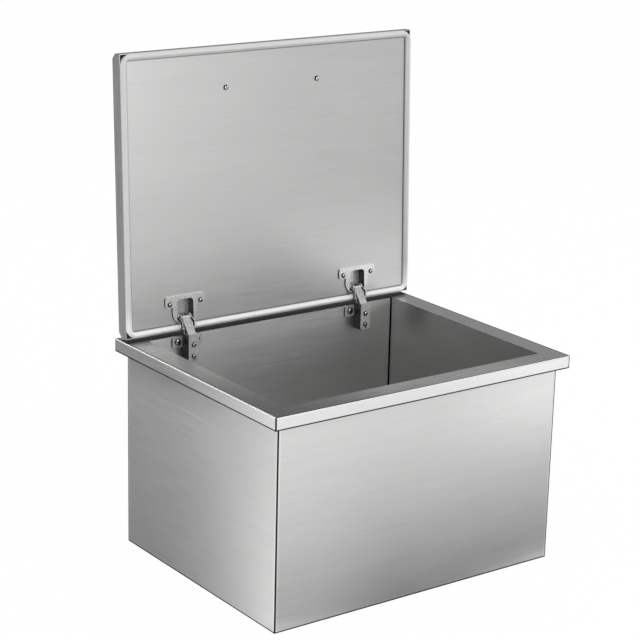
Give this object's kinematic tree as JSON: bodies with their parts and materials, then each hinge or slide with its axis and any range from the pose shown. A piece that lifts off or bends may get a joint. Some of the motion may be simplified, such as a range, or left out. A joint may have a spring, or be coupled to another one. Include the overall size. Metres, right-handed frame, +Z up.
{
  "type": "drop-in ice chest",
  "caption": "Insulated stainless drop-in ice chest with a hinged, gasketed lid on concealed cup hinges, a counter rim and a plugged floor drain.",
  "frame": {"origin": "on the underside of the base, below the middle of the rim outline", "axes": "+X left to right along the long front, +Y to the back, +Z up"},
  "size_m": [0.508, 0.447, 0.7223],
  "materials": {
    "casing_steel": "fine horizontal brushing",
    "rim_steel": "fine brushing along each side",
    "tub_steel": "satin",
    "lid_steel": "fine brushing",
    "handle_steel": "satin polished rod",
    "drain_steel": "turned",
    "hinge_nickel": "bright nickel plate",
    "screw_steel": "bright",
    "gasket_rubber": "satin light grey",
    "black_plastic": "matt",
    "black_rubber": "matt",
    "foam": "matt closed-cell foam"
  },
  "bodies": {
    "chest": {"casing_front": "casing_steel", "casing_rear": "casing_steel", "casing_left": "casing_steel", "casing_right": "casing_steel", "base_pan": "casing_steel", "rim_frame": "rim_steel", "inner_tub": "tub_steel", "insulation_front": "foam", "insulation_rear": "foam", "insulation_left": "foam", "insulation_right": "foam", "insulation_base": "foam", "drain_spud": "drain_steel", "drain_washer": "black_rubber", "drain_nut": "drain_steel", "drain_strainer": "drain_steel", "hinge_plate_left": "hinge_nickel", "hinge_plate_right": "hinge_nickel", "hinge_plate_screws_left": "screw_steel", "hinge_plate_screws_right": "screw_steel", "hinge_arm_left": "hinge_nickel", "hinge_arm_right": "hinge_nickel", "hinge_arm_screws_left": "screw_steel", "hinge_arm_screws_right": "screw_steel", "hinge_arm_pins_left": "hinge_nickel", "hinge_arm_pins_right": "hinge_nickel"},
    "outer_links": {"hinge_outer_link_left": "hinge_nickel", "hinge_outer_link_right": "hinge_nickel"},
    "inner_links": {"hinge_inner_link_left": "hinge_nickel", "hinge_inner_link_right": "hinge_nickel"},
    "lid": {"lid_skin": "lid_steel", "lid_inner_panel": "lid_steel", "lid_foam": "foam", "lid_breaker_strip": "black_plastic", "lid_gasket": "gasket_rubber", "lid_handle": "handle_steel", "lid_handle_collars": "handle_steel", "lid_handle_screws": "screw_steel", "hinge_cup_left": "hinge_nickel", "hinge_cup_right": "hinge_nickel", "hinge_cup_pins_left": "hinge_nickel", "hinge_cup_pins_right": "hinge_nickel", "hinge_cup_screws_left": "screw_steel", "hinge_cup_screws_right": "screw_steel"},
    "stopper": {"drain_stopper": "black_rubber"}
  },
  "joints": [
    {"name": "outer_link_turn", "type": "hinge", "parent": "chest", "child": "outer_links", "pos_m": [0, 0.1525, 0.311], "axis": [-1, 0, 0], "range_deg": [0, 42.84]},
    {"name": "lid_turn", "type": "hinge", "parent": "outer_links", "child": "lid", "pos_m": [0, 0.17208, 0.33575], "axis": [1, 0, 0], "range_deg": [0, 135]},
    {"name": "inner_link_turn", "type": "hinge", "parent": "chest", "child": "inner_links", "pos_m": [0, 0.164, 0.321], "axis": [-1, 0, 0], "range_deg": [0, 50.19]},
    {"name": "stopper_lift", "type": "slide", "parent": "chest", "child": "stopper", "axis": [0, 0, 1], "range_m": [0, 0.045]}
  ],
  "couplings": [
    {"joint": "outer_link_turn", "follows": "lid_turn", "ratio": 0.31731},
    {"joint": "inner_link_turn", "follows": "lid_turn", "ratio": 0.37176}
  ]
}
